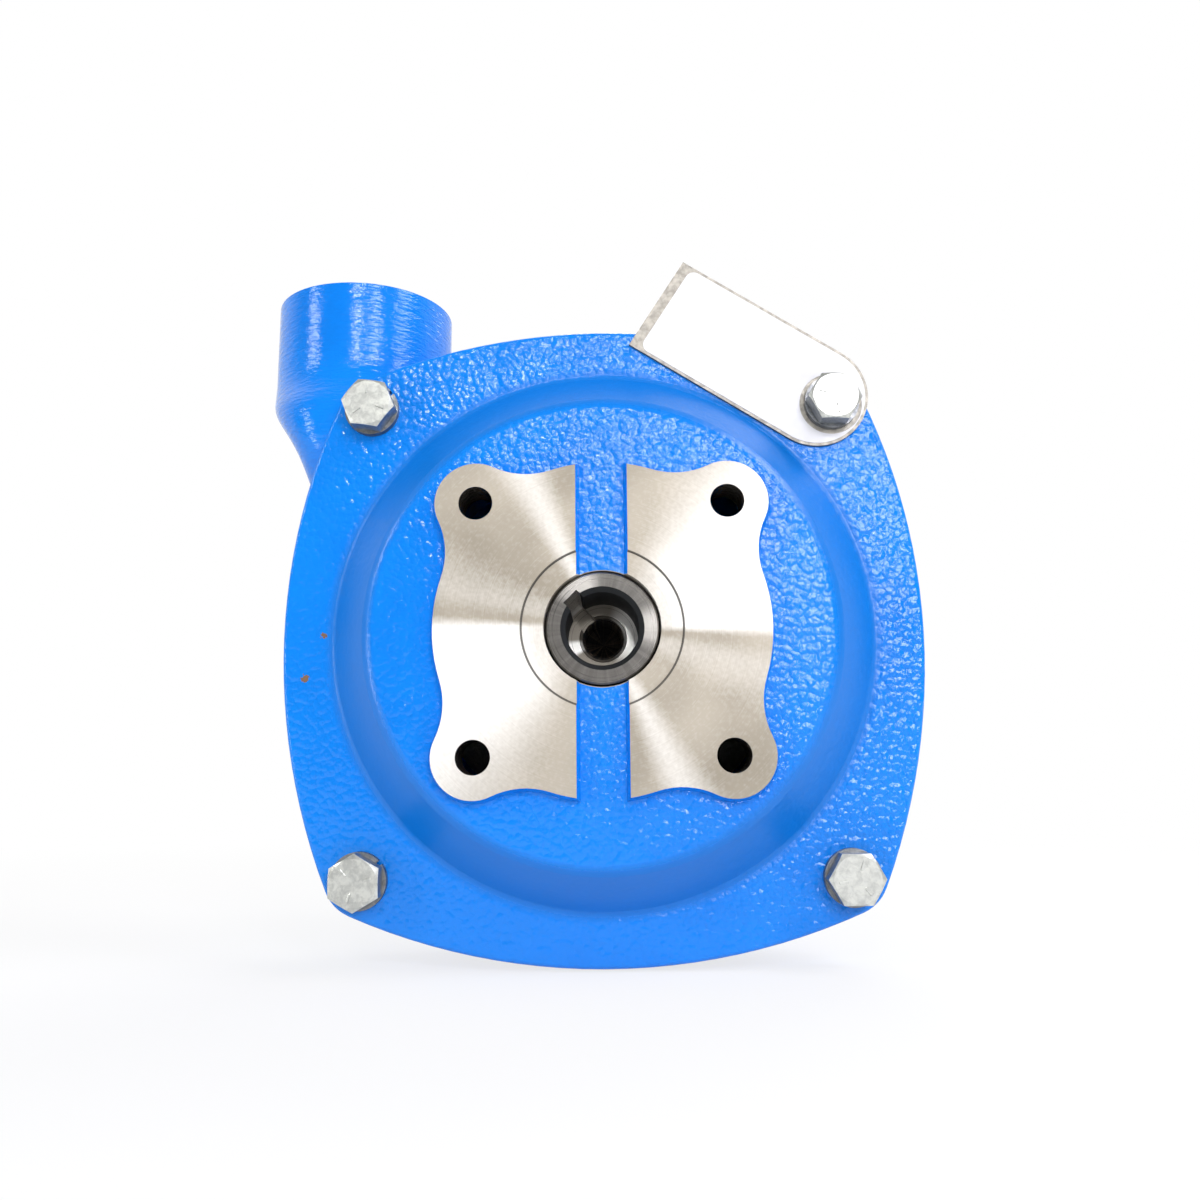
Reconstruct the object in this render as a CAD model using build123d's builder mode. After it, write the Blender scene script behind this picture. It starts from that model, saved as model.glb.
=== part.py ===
"""Close-coupled centrifugal pump that mounts on a small engine by a four-bolt flange.

The origin is the centre of the engine mounting face, on the shaft's axis. The engine is on the
-Y side, the suction port faces +Y, +Z is up and the discharge port points up at the -X side.
Every length is in millimetres. A depth is a distance behind the mounting face, along +Y.
"""

from build123d import *
from math import cos, radians, sin
import os

os.makedirs("parts", exist_ok=True)

# Clearances
thread_gap = 0.03
slip_gap = 0.05
press_gap = 0.02
film_gap = 0.02
wear_gap = 0.20

# Engine side of the bracket
engine_spacing = 65.12
engine_hole_r = 4.4
lobe_r = 10.6
pad_disc_r = 43.2
pad_blend_r = 20.0
pad_draft = 16.0
channel_w = 13.4
pilot_r = 20.7
pilot_depth = 0.4
hub_depth = 3.2
hub_face_r = 61.0
hub_slope_w = 11.2
hub_edge_r = 4.0
hub_root_r = 2.0
bracket_bore_r = 15.05

# Rounded-square rim, shared by the bracket and the casing
rim_land = 13.8
rim_side_r = 170.0
rim_corner_r = 12.0
rim_depth = 15.5
rim_thickness = 10.0
rim_edge_r = 1.2
bolt_land = 17.603

# Inside of the bracket
bracket_wall = 10.0
dish_r = 57.0
dish_corner = 5.0
register_wall = 5.0
register_length = 4.0
seat_boss_wall = 5.0

# Casing bolts, lock washers and tag
bolt_r = 3.97
bolt_head_af = 12.7
bolt_head_h = 5.3
bolt_engagement = 7.0
bolt_hole_r = 4.4
lock_washer_r = 7.4
lock_washer_t = 2.0
lock_washer_split = 1.2
washer_turn = -40.0
head_turns = {(-1, 1): 8.0, (1, 1): 2.0, (-1, -1): 30.0, (1, -1): 0.0}
head_face_inset = 0.3
head_slope_l = 3.75
tag_t = 1.0
tag_w = 29.0
tag_length = 66.2
tag_tilt = -32.6
tag_hole_r = 4.3
tag_hole_to_end = 9.7
label_t = 0.15
label_inset = 3.0
label_margin = 0.8
label_corner_r = 2.5
label_hole_r = 8.6

# Casing and scroll
casing_flange_t = 10.0
scroll_half = 12.5
scroll_wall = 6.0
scroll_edge_r = 9.0
scroll_start_r = 60.0
scroll_growth = 20.0
scroll_turn = 330
cutwater_angle = 150.0
throat_r = 12.0
throat_round_r = 8.0
throat_top_z = 55.0
neck_start_z = 48.0
neck_round_r = 15.0
rim_relief = 1.0
suction_port_r = 22.0
suction_port_l = 24.0
suction_bore_r = 19.5
suction_boss_r = 31.0
suction_boss_l = 29.5
suction_root_r = 5.0
boss_edge_r = 1.2

# Discharge boss
discharge_x = -74.2
discharge_top_z = 106.0
discharge_boss_r = 26.5
discharge_boss_l = 29.0
discharge_port_r = 19.2
discharge_port_l = 22.0
port_lead_r = 17.5

# Impeller
impeller_r = 52.0
outlet_w = 7.0
shroud_t = 2.6
vane_count = 6
vane_t = 3.0
vane_sweep = 105.0
eye_r = 20.0
vane_start_r = 22.0
shroud_bite = 0.6
shroud_relief = 0.6
shroud_knee_r = 25.0
shroud_knee_rise = 3.0
shroud_rise = 4.0
hub_sweep_r = 27.0
eye_ring_r = 23.4
impeller_hub_r = 22.0
impeller_hub_l = 3.0
nose_r = 14.5
nose_rise = 0.9
eye_end_gap = 1.5
wear_ring_wall = 3.5
wear_ring_l = 8.0
wear_ring_lip = 1.0

# Hollow shaft
shaft_r = 14.5
shaft_end_depth = 2.4
shaft_edge = 0.4
crank_bore_r = 9.525
crank_bore_l = 22.0
crank_chamfer = 1.3
crank_key_w = 4.76
crank_key_h = 2.2
crank_key_angle = 135.0
crank_key_run = 3.0
stud_bore_r = 5.6
stud_bore_l = 12.0
stud_chamfer = 1.0
impeller_seat_r = 11.11
key_w = 4.76
key_l = 11.0
key_inset = 3.6
nut_stud_r = 6.35
nut_af = 19.05
nut_h = 9.5
nut_slope_l = 5.5
impeller_washer_r = 12.5
impeller_washer_t = 2.0

# Mechanical seal
seat_ring_w = 4.3
seat_ring_t = 8.0
seat_bore_r = 15.2
cup_wall = 2.0
cup_base = 1.5
cup_relief = 1.5
carbon_in_r = 16.2
carbon_out_r = 18.8
carbon_t = 4.0
carbon_nose = 1.5
shell_wall = 1.0
shell_l = 6.5
bellows_wall = 1.6
spring_mean_r = 19.2
spring_wire_r = 0.9
spring_turns = 3.0
spring_room = 8.68
holder_t = 1.5
holder_r = 21.5

# O-ring and pipe plugs
o_ring_r = 1.6
o_ring_groove = 3.6
plug_r = 6.6
plug_length = 7.0
plug_stand = 0.8
plug_head_side = 7.9
plug_head_h = 5.0
plug_boss_r = 10.5
plug_boss_rise = 1.2

# Sizes that follow from the ones above
joint_depth = rim_depth + rim_thickness
dish_depth = hub_depth + bracket_wall
register_r = dish_r + register_wall
hub_base_r = hub_face_r + hub_slope_w
rim_half = hub_base_r + rim_land
bolt_half = (hub_base_r + bolt_land) * cos(radians(45))
bolt_spacing = 2 * bolt_half
rim_side_offset = rim_side_r - rim_half
seat_ring_r = seat_bore_r + seat_ring_w
seat_hole_r = seat_ring_r + cup_wall + press_gap
seat_depth = dish_depth + cup_base
seat_face_depth = seat_depth + seat_ring_t
seat_boss_r = seat_hole_r + seat_boss_wall
cup_end_depth = seat_face_depth - cup_relief
carbon_depth = seat_face_depth + film_gap
shell_depth = carbon_depth + carbon_nose
shell_end_depth = shell_depth + shell_l
holder_depth = shell_end_depth + spring_room
shoulder_depth = holder_depth + holder_t
back_face_depth = shoulder_depth + impeller_hub_l + shroud_t
front_face_depth = back_face_depth + outlet_w
scroll_depth = back_face_depth + outlet_w / 2
shroud_knee_depth = front_face_depth + shroud_knee_rise
nose_depth = front_face_depth + shroud_t + nose_rise
scroll_front_depth = scroll_depth - scroll_half
scroll_rear_depth = scroll_depth + scroll_half
casing_front_depth = scroll_front_depth - scroll_wall
casing_rear_depth = scroll_rear_depth + scroll_wall
wear_ring_front = scroll_rear_depth - wear_ring_lip
wear_ring_rear = wear_ring_front + wear_ring_l
wear_ring_in_r = eye_ring_r + wear_gap
wear_ring_out_r = wear_ring_in_r + wear_ring_wall
eye_depth = wear_ring_rear - eye_end_gap
suction_boss_end = casing_rear_depth + suction_boss_l
suction_port_depth = suction_boss_end - suction_port_l
throat_outer_x = -(scroll_start_r + scroll_growth * scroll_turn / 360)
neck_x = throat_outer_x + throat_r
boss_start_z = discharge_top_z - discharge_boss_l
port_start_z = discharge_top_z - discharge_port_l
key_depth = shoulder_depth + key_inset
bellows_r = shaft_r + slip_gap + bellows_wall
drill_spare = 1.2
tag_depth = rim_depth - tag_t
stud_end_depth = nose_depth + impeller_washer_t + nut_h + 1.0


def depth_plane(depth: float) -> Plane:
    """Return the plane at a depth behind the mounting face, as the engine sees it, with Z up."""
    return Plane(origin=(0, depth, 0), x_dir=(1, 0, 0), z_dir=(0, -1, 0))


def disc(radius: float, start: float, end: float, hole_r: float = 0.0, mode: Mode = Mode.ADD):
    """Add or cut a disc or ring about the shaft's axis between two depths."""
    with BuildSketch(depth_plane(start)) as face:
        Circle(radius)
        if hole_r > 0:
            Circle(hole_r, mode=Mode.SUBTRACT)
    extrude(face.sketch, amount=start - end, mode=mode)


def corner_discs(radius: float, spacing: float, start: float, end: float, mode: Mode = Mode.ADD):
    """Add or cut four discs on a square pattern about the shaft's axis."""
    with BuildSketch(depth_plane(start)) as faces:
        with GridLocations(spacing, spacing, 2, 2):
            Circle(radius)
    extrude(faces.sketch, amount=start - end, mode=mode)


def turned(points: list, mode: Mode = Mode.ADD):
    """Turn a closed outline of (radius, depth) points about the shaft's axis."""
    with BuildSketch(Plane.XY) as profile:
        with BuildLine():
            Polyline(*points, close=True)
        make_face()
    revolve(profile.sketch, axis=Axis.Y, mode=mode)


def rim_outline() -> Sketch:
    """Return the rounded square of four long arcs that bracket and casing share."""
    with BuildSketch() as outline:
        with Locations((rim_side_offset, 0)):
            Circle(rim_side_r)
        for place in ((-rim_side_offset, 0), (0, rim_side_offset), (0, -rim_side_offset)):
            with Locations(place):
                Circle(rim_side_r, mode=Mode.INTERSECT)
        fillet(outline.vertices(), radius=rim_corner_r)
    return outline.sketch


def pad_outline() -> Sketch:
    """Return the outline of the machined pads: a disc with four blended lobes."""
    with BuildSketch() as outline:
        Circle(pad_disc_r)
        with GridLocations(engine_spacing, engine_spacing, 2, 2):
            Circle(lobe_r)
        fillet(outline.vertices(), radius=pad_blend_r)
    return outline.sketch


def scroll_reach(turn: float) -> float:
    """Return the scroll passage's radius after a turn in degrees from the cutwater."""
    return scroll_start_r + scroll_growth * turn / 360


def scroll_outline(wall: float) -> Sketch:
    """Return the scroll's spiral with its straight throat, grown outwards by a wall."""
    spiral = []
    for turn in range(0, scroll_turn + 1, 30):
        reach = scroll_reach(turn) + wall
        angle = radians(cutwater_angle - turn)
        spiral.append((reach * cos(angle), reach * sin(angle)))
    with BuildSketch() as outline:
        with BuildLine():
            curve = Spline(spiral)
            Line(curve @ 1, curve @ 0)
        make_face()
        with Locations((neck_x, throat_top_z / 2)):
            Rectangle(2 * (throat_r + wall), throat_top_z)
    return outline.sketch


def neck_plane(x: float, z: float) -> Plane:
    """Return the level plane at a height on the discharge, with Y as its second direction."""
    return Plane(origin=(x, scroll_depth, z), x_dir=(1, 0, 0), z_dir=(0, 0, 1))


def discharge_neck(throat_side: float, throat_round: float, port_r: float, top_z: float):
    """Return the tapered neck from the scroll's throat up to the round discharge boss."""
    with BuildPart() as neck:
        with BuildSketch(neck_plane(neck_x, neck_start_z)):
            RectangleRounded(2 * throat_side, 2 * throat_side, throat_round)
        with BuildSketch(neck_plane(discharge_x, top_z)):
            RectangleRounded(2 * port_r, 2 * port_r, port_r - 0.05)
        loft()
    return neck.part


priming_boss_z = scroll_reach(cutwater_angle - 90) + scroll_wall + plug_boss_rise
drain_boss_z = scroll_reach(cutwater_angle + 90) + scroll_wall + plug_boss_rise

# Engine bracket: the raised hub, its machined pads and the rim, in one casting
pads_plane = Plane(origin=(0, 0, 0), x_dir=(1, 0, 0), z_dir=(0, 1, 0))
with BuildPart() as mounting_flange:
    with BuildSketch(depth_plane(rim_depth)):
        add(rim_outline())
    extrude(amount=-rim_thickness)
    fillet(mounting_flange.faces().sort_by(Axis.Y)[0].edges(), radius=rim_edge_r)
    turned([(0, hub_depth), (hub_face_r, hub_depth), (hub_base_r, rim_depth), (hub_base_r, joint_depth),
            (0, joint_depth)])
    hub_circles = mounting_flange.edges().filter_by(GeomType.CIRCLE)
    fillet([e for e in hub_circles if abs(e.radius - hub_face_r) < 0.01], radius=hub_edge_r)
    hub_circles = mounting_flange.edges().filter_by(GeomType.CIRCLE)
    fillet([e for e in hub_circles if abs(e.radius - hub_base_r) < 0.01 and e.center().Y < joint_depth - 1],
           radius=hub_root_r)
    with BuildSketch(pads_plane):
        add(pad_outline())
        Rectangle(channel_w, 3 * pad_disc_r, mode=Mode.SUBTRACT)
    extrude(amount=hub_depth + 0.2, taper=-pad_draft)
    # The dish behind the hub, with its corner rounded inside, and the register that enters the casing
    disc(register_r - slip_gap, joint_depth, joint_depth + register_length)
    turned([(0, dish_depth), (dish_r - dish_corner, dish_depth), (dish_r, dish_depth + dish_corner),
            (dish_r, joint_depth + register_length + 1), (0, joint_depth + register_length + 1)],
           mode=Mode.SUBTRACT)
    disc(seat_boss_r, dish_depth, cup_end_depth)
    disc(seat_hole_r, dish_depth, cup_end_depth, mode=Mode.SUBTRACT)
    disc(bracket_bore_r, -1, dish_depth, mode=Mode.SUBTRACT)
    disc(pilot_r, -1, pilot_depth, mode=Mode.SUBTRACT)
    corner_discs(engine_hole_r, engine_spacing, -1, dish_depth + dish_corner, mode=Mode.SUBTRACT)
    corner_discs(bolt_hole_r, bolt_spacing, rim_depth - 1, joint_depth + 1, mode=Mode.SUBTRACT)

# Scroll casing: rim, spiral body, discharge neck and boss, and suction boss, in one casting
outer_neck = discharge_neck(throat_r + scroll_wall, neck_round_r, discharge_boss_r, boss_start_z)
inner_neck = discharge_neck(throat_r, throat_round_r, port_lead_r, port_start_z)
with BuildPart() as volute_casing:
    with BuildSketch(depth_plane(casing_front_depth)):
        add(scroll_outline(scroll_wall))
    extrude(amount=casing_front_depth - casing_rear_depth)
    scroll_faces = volute_casing.faces().filter_by(Axis.Y).sort_by(Axis.Y)
    fillet(scroll_faces[0].edges() + scroll_faces[-1].edges(), radius=scroll_edge_r)
    add(outer_neck)
    with BuildSketch(neck_plane(discharge_x, boss_start_z)):
        Circle(discharge_boss_r)
    extrude(amount=discharge_top_z - boss_start_z)
    with BuildSketch(depth_plane(joint_depth)):
        add(rim_outline())
    extrude(amount=-casing_flange_t)
    disc(suction_boss_r, casing_rear_depth - scroll_wall, suction_boss_end)
    boss_circles = volute_casing.edges().filter_by(GeomType.CIRCLE)
    fillet([e for e in boss_circles if abs(e.radius - suction_boss_r) < 0.01
            and abs(e.center().Y - casing_rear_depth) < 0.01], radius=suction_root_r)
    fillet([e for e in volute_casing.edges().filter_by(GeomType.CIRCLE)
            if abs(e.radius - suction_boss_r) < 0.01 and abs(e.center().Y - suction_boss_end) < 0.01],
           radius=boss_edge_r)
    for side, boss_z in ((1, priming_boss_z), (-1, drain_boss_z)):
        with BuildSketch(Plane.XY.offset(side * scroll_start_r)):
            with Locations((0, scroll_depth)):
                Circle(plug_boss_r)
        extrude(amount=side * (boss_z - scroll_start_r))
    # Passages
    with BuildSketch(depth_plane(scroll_front_depth)):
        add(scroll_outline(0))
    extrude(amount=scroll_front_depth - scroll_rear_depth, mode=Mode.SUBTRACT)
    add(inner_neck, mode=Mode.SUBTRACT)
    with BuildSketch(neck_plane(discharge_x, discharge_top_z)):
        Circle(discharge_port_r)
    extrude(amount=-discharge_port_l, mode=Mode.SUBTRACT)
    disc(scroll_start_r, joint_depth, scroll_front_depth, mode=Mode.SUBTRACT)
    disc(register_r, joint_depth, joint_depth + register_length + slip_gap, mode=Mode.SUBTRACT)
    disc(register_r + o_ring_groove, joint_depth, joint_depth + 2 * o_ring_r + slip_gap, mode=Mode.SUBTRACT)
    disc(wear_ring_out_r + press_gap, scroll_rear_depth, wear_ring_rear, mode=Mode.SUBTRACT)
    disc(suction_bore_r, wear_ring_rear, suction_port_depth, mode=Mode.SUBTRACT)
    disc(suction_port_r, suction_port_depth, suction_boss_end, mode=Mode.SUBTRACT)
    corner_discs(bolt_r + thread_gap, bolt_spacing, joint_depth, joint_depth + bolt_engagement + drill_spare,
                 mode=Mode.SUBTRACT)
    for side in (-1, 1):
        with BuildSketch(Plane.XY):
            with Locations((0, scroll_depth)):
                Circle(plug_r + thread_gap)
        extrude(amount=side * rim_half, mode=Mode.SUBTRACT)
    # Nothing of the casing stands in front of the machined joint face within the bracket's rim
    with BuildSketch(depth_plane(joint_depth)):
        add(rim_outline())
        offset(amount=rim_relief)
    extrude(amount=rim_thickness, mode=Mode.SUBTRACT)

with BuildPart() as casing_o_ring:
    with BuildSketch(Plane.XY):
        with Locations((register_r + o_ring_groove / 2, joint_depth + o_ring_r + slip_gap / 2)):
            Circle(o_ring_r)
    revolve(axis=Axis.Y)

with BuildPart() as wear_ring:
    disc(wear_ring_out_r, wear_ring_front, wear_ring_rear, hole_r=wear_ring_in_r)
    inner_rims = wear_ring.edges().filter_by(GeomType.CIRCLE).group_by(SortBy.RADIUS)[0]
    chamfer(inner_rims, length=0.5)

# Rim fasteners and tag. The tag lies under the upper-right washer, which sits that much further out.
with BuildPart() as split_washer:
    disc(lock_washer_r, -lock_washer_t, 0, hole_r=bolt_hole_r)
    with BuildSketch(depth_plane(0)) as split:
        with Locations((lock_washer_r, 0)):
            Rectangle(2 * (lock_washer_r - bolt_hole_r) + 2, lock_washer_split)
    extrude(split.sketch, amount=lock_washer_t, mode=Mode.SUBTRACT)

with BuildPart() as cap_screw:
    with BuildSketch(depth_plane(0)):
        RegularPolygon(bolt_head_af / 2, 6, major_radius=False)
    extrude(amount=bolt_head_h)
    turned([(0, -bolt_head_h), (bolt_head_af / 2 - head_face_inset, -bolt_head_h),
            (bolt_head_af, -bolt_head_h + head_slope_l), (bolt_head_af, 0), (0, 0)], mode=Mode.INTERSECT)
    disc(bolt_r, 0, lock_washer_t + rim_thickness + bolt_engagement)

with BuildPart() as lock_washers:
    for (side_x, side_z), head_turn in head_turns.items():
        lift = tag_t if (side_x, side_z) == (1, 1) else 0.0
        seat = rim_depth - lift
        with Locations(Location((side_x * bolt_half, seat, side_z * bolt_half), (0, washer_turn, 0))):
            add(split_washer.part)

with BuildPart() as casing_bolts:
    for (side_x, side_z), head_turn in head_turns.items():
        lift = tag_t if (side_x, side_z) == (1, 1) else 0.0
        seat = rim_depth - lift - lock_washer_t
        with Locations(Location((side_x * bolt_half, seat, side_z * bolt_half), (0, head_turn, 0))):
            add(cap_screw.part)

tag_x_dir = (cos(radians(tag_tilt)), 0, sin(radians(tag_tilt)))
tag_plane = Plane(origin=(bolt_half, tag_depth, bolt_half), x_dir=tag_x_dir, z_dir=(0, -1, 0))
tag_end_x = tag_hole_to_end
tag_start_x = tag_hole_to_end - tag_length
with BuildPart() as tag_plate:
    with BuildSketch(tag_plane):
        with Locations(((tag_start_x + tag_end_x - tag_w / 2) / 2, 0)):
            Rectangle(tag_length - tag_w / 2, tag_w)
        with Locations((tag_end_x - tag_w / 2, 0)):
            Circle(tag_w / 2)
        Circle(tag_hole_r, mode=Mode.SUBTRACT)
    extrude(amount=-tag_t)

with BuildPart() as tag_label:
    with BuildSketch(tag_plane) as tag_label_sketch:
        label_start_x = tag_start_x + label_inset
        label_half = tag_w / 2 - label_margin
        with Locations(((label_start_x + tag_end_x - tag_w / 2) / 2, 0)):
            Rectangle(tag_end_x - tag_w / 2 - label_start_x, 2 * label_half)
        with Locations((tag_end_x - tag_w / 2, 0)):
            Circle(label_half)
        left_corners = tag_label_sketch.vertices().group_by(Axis.X)[0]
        fillet(left_corners, radius=label_corner_r)
        Circle(label_hole_r, mode=Mode.SUBTRACT)
    extrude(amount=label_t)

# Rotor: the hollow shaft on the engine's crankshaft, and the impeller on its far end
with BuildPart() as hollow_shaft:
    turned([(0, shaft_end_depth), (shaft_r - shaft_edge, shaft_end_depth),
            (shaft_r, shaft_end_depth + shaft_edge), (shaft_r, shoulder_depth),
            (impeller_seat_r, shoulder_depth), (impeller_seat_r, nose_depth - 0.5),
            (nut_stud_r, nose_depth - 0.5), (nut_stud_r, stud_end_depth - 1),
            (nut_stud_r - 1, stud_end_depth), (0, stud_end_depth)])
    crank_end_depth = shaft_end_depth + crank_bore_l
    drill_end_depth = crank_end_depth + stud_bore_l
    turned([(0, shaft_end_depth - 1), (crank_bore_r + crank_chamfer + 1, shaft_end_depth - 1),
            (crank_bore_r, shaft_end_depth + crank_chamfer), (crank_bore_r, crank_end_depth),
            (stud_bore_r + stud_chamfer, crank_end_depth), (stud_bore_r, crank_end_depth + stud_chamfer),
            (stud_bore_r, drill_end_depth), (0, drill_end_depth + 0.6 * stud_bore_r)], mode=Mode.SUBTRACT)
    with BuildSketch(depth_plane(shaft_end_depth - 1)):
        keyway_r = (crank_bore_r + crank_key_h) / 2
        with Locations(Location((0, 0), crank_key_angle) * Location((keyway_r, 0))):
            Rectangle(2 * keyway_r, crank_key_w)
    extrude(amount=-(crank_bore_l + crank_key_run + 1), mode=Mode.SUBTRACT)
    with BuildSketch(depth_plane(key_depth)):
        with Locations((0, impeller_seat_r)):
            Rectangle(key_w + 2 * slip_gap, key_w)
    extrude(amount=-key_l, mode=Mode.SUBTRACT)

with BuildPart() as impeller_key:
    with BuildSketch(depth_plane(key_depth)):
        with Locations((0, impeller_seat_r)):
            Rectangle(key_w, key_w - 2 * slip_gap)
    extrude(amount=-key_l + slip_gap)

# Vanes: backward-curved strips, cut to the space between the two shrouds
with BuildPart() as vanes:
    with BuildSketch(depth_plane(back_face_depth - shroud_bite)):
        for number in range(vane_count):
            turn = number * 360 / vane_count
            with BuildLine() as vane_line:
                ThreePointArc(*[
                    (reach * cos(radians(turn + swing)), reach * sin(radians(turn + swing)))
                    for reach, swing in ((vane_start_r, 0),
                                         ((vane_start_r + impeller_r) / 2, 0.62 * vane_sweep),
                                         (impeller_r + 1, vane_sweep))
                ])
            trace(vane_line.line, line_width=vane_t)
    extrude(amount=-(eye_depth - back_face_depth))
    turned([(eye_r - 2, back_face_depth - shroud_bite), (impeller_r, back_face_depth - shroud_bite),
            (impeller_r, front_face_depth + shroud_bite), (shroud_knee_r, shroud_knee_depth + shroud_bite),
            (eye_r + 1, shroud_knee_depth + 2), (eye_r - 2, shroud_knee_depth)], mode=Mode.INTERSECT)

with BuildPart() as impeller:
    with BuildSketch(Plane.XY):
        with BuildLine():
            bore_r = impeller_seat_r + slip_gap
            Polyline((nose_r, nose_depth), (bore_r, nose_depth), (bore_r, shoulder_depth),
                     (impeller_hub_r, shoulder_depth), (impeller_hub_r, back_face_depth - shroud_t),
                     (impeller_r, back_face_depth - shroud_t), (impeller_r, back_face_depth),
                     (hub_sweep_r, back_face_depth))
            sweep_middle = (nose_r + 0.3 * (hub_sweep_r - nose_r),
                            back_face_depth + 0.3 * (nose_depth - back_face_depth))
            ThreePointArc((hub_sweep_r, back_face_depth), sweep_middle, (nose_r, nose_depth))
        make_face()
        with BuildLine():
            Polyline((impeller_r, front_face_depth), (shroud_knee_r, shroud_knee_depth),
                     (eye_r, shroud_knee_depth + shroud_rise), (eye_r, eye_depth), (eye_ring_r, eye_depth),
                     (eye_ring_r, wear_ring_front - shroud_relief),
                     (eye_ring_r + shroud_t, shroud_knee_depth + shroud_t),
                     (impeller_r, front_face_depth + shroud_t), close=True)
        make_face()
    revolve(axis=Axis.Y)
    add(vanes.part)
    with BuildSketch(depth_plane(shoulder_depth - 1)):
        with Locations((0, impeller_seat_r)):
            Rectangle(key_w + 2 * slip_gap, key_w)
    extrude(amount=-(nose_depth - shoulder_depth + 2), mode=Mode.SUBTRACT)

with BuildPart() as impeller_washer:
    disc(impeller_washer_r, nose_depth, nose_depth + impeller_washer_t, hole_r=nut_stud_r + slip_gap)

nut_depth = nose_depth + impeller_washer_t
with BuildPart() as impeller_nut:
    with BuildSketch(depth_plane(nut_depth)):
        RegularPolygon(nut_af / 2, 6, major_radius=False)
    extrude(amount=-nut_h)
    turned([(0, nut_depth), (nut_af, nut_depth), (nut_af, nut_depth + nut_h - nut_slope_l),
            (nut_af / 2 - 0.3, nut_depth + nut_h), (0, nut_depth + nut_h)], mode=Mode.INTERSECT)
    disc(nut_stud_r + thread_gap, nut_depth, nut_depth + nut_h, mode=Mode.SUBTRACT)

# Mechanical seal, from the stationary seat in the bracket to the holder on the impeller's hub
with BuildPart() as seal_seat:
    disc(seat_ring_r, seat_depth, seat_face_depth, hole_r=seat_bore_r)
    chamfer(seal_seat.edges().filter_by(GeomType.CIRCLE).group_by(SortBy.RADIUS)[-1], length=0.4)

with BuildPart() as seal_seat_cup:
    disc(seat_ring_r + cup_wall, dish_depth, cup_end_depth, hole_r=seat_ring_r)
    disc(seat_ring_r + cup_wall, dish_depth, seat_depth, hole_r=seat_bore_r + slip_gap)

with BuildPart() as seal_face:
    disc(carbon_out_r, carbon_depth, carbon_depth + carbon_t, hole_r=carbon_in_r)
    chamfer(seal_face.edges().filter_by(GeomType.CIRCLE).group_by(SortBy.RADIUS)[-1], length=0.3)

with BuildPart() as seal_shell:
    disc(carbon_out_r + slip_gap + shell_wall, shell_depth, shell_end_depth, hole_r=carbon_out_r + slip_gap)
    disc(carbon_out_r + slip_gap + shell_wall, shell_end_depth - shell_wall, shell_end_depth,
         hole_r=bellows_r + slip_gap)

with BuildPart() as seal_bellows:
    carbon_end = carbon_depth + carbon_t
    disc(carbon_out_r, carbon_end, shell_end_depth - shell_wall, hole_r=shaft_r + slip_gap)
    disc(bellows_r, carbon_end, holder_depth + holder_t, hole_r=shaft_r + slip_gap)

with BuildPart() as seal_spring:
    spring_start = shell_end_depth + spring_wire_r + film_gap
    spring_length = holder_depth - film_gap - spring_wire_r - spring_start
    with BuildLine():
        coil = Helix(pitch=spring_length / spring_turns, height=spring_length, radius=spring_mean_r,
                     center=(0, spring_start, 0), direction=(0, 1, 0))
    with BuildSketch(Plane(origin=coil @ 0, z_dir=coil % 0)):
        Circle(spring_wire_r)
    sweep(is_frenet=True)

with BuildPart() as seal_spring_holder:
    disc(holder_r, holder_depth, shoulder_depth, hole_r=bellows_r + slip_gap)

# Pipe plugs in the scroll
with BuildPart() as pipe_plug:
    Cylinder(plug_r, plug_length + plug_stand, align=(Align.CENTER, Align.CENTER, Align.MIN))
    top_face = pipe_plug.faces().sort_by(Axis.Z)[-1]
    with BuildSketch(top_face):
        Rectangle(plug_head_side, plug_head_side)
    extrude(amount=plug_head_h)
    chamfer(pipe_plug.edges().group_by(Axis.Z)[-1], length=0.8)

with BuildPart() as priming_plug:
    with Locations((0, scroll_depth, priming_boss_z - plug_length)):
        add(pipe_plug.part)

with BuildPart() as drain_plug:
    with Locations(Location((0, scroll_depth, plug_length - drain_boss_z), (180, 0, 0))):
        add(pipe_plug.part)

pieces = {
    "mounting_flange": mounting_flange,
    "volute_casing": volute_casing,
    "casing_o_ring": casing_o_ring,
    "wear_ring": wear_ring,
    "lock_washers": lock_washers,
    "casing_bolts": casing_bolts,
    "tag_plate": tag_plate,
    "tag_label": tag_label,
    "hollow_shaft": hollow_shaft,
    "impeller_key": impeller_key,
    "impeller": impeller,
    "impeller_washer": impeller_washer,
    "impeller_nut": impeller_nut,
    "seal_seat": seal_seat,
    "seal_seat_cup": seal_seat_cup,
    "seal_face": seal_face,
    "seal_shell": seal_shell,
    "seal_bellows": seal_bellows,
    "seal_spring": seal_spring,
    "seal_spring_holder": seal_spring_holder,
    "priming_plug": priming_plug,
    "drain_plug": drain_plug,
}
for name, piece in pieces.items():
    piece.part.label = name
    export_step(piece.part, f"parts/{name}.step")
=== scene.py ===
"""Looks of the engine-mounted centrifugal pump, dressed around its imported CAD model.

Every object is in metres in the CAD frame: the engine is on the -Y side, the suction port faces +Y,
+Z is up and the discharge port points up at the -X side. The CAD nodes keep their shapes and get
procedural finishes; the pieces added here are small things that stand on them.
"""

from __future__ import annotations

import logging
import math
from dataclasses import dataclass
from enum import Enum
from functools import cached_property
from typing import Any

import bpy
from mathutils import Matrix, Vector


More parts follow.
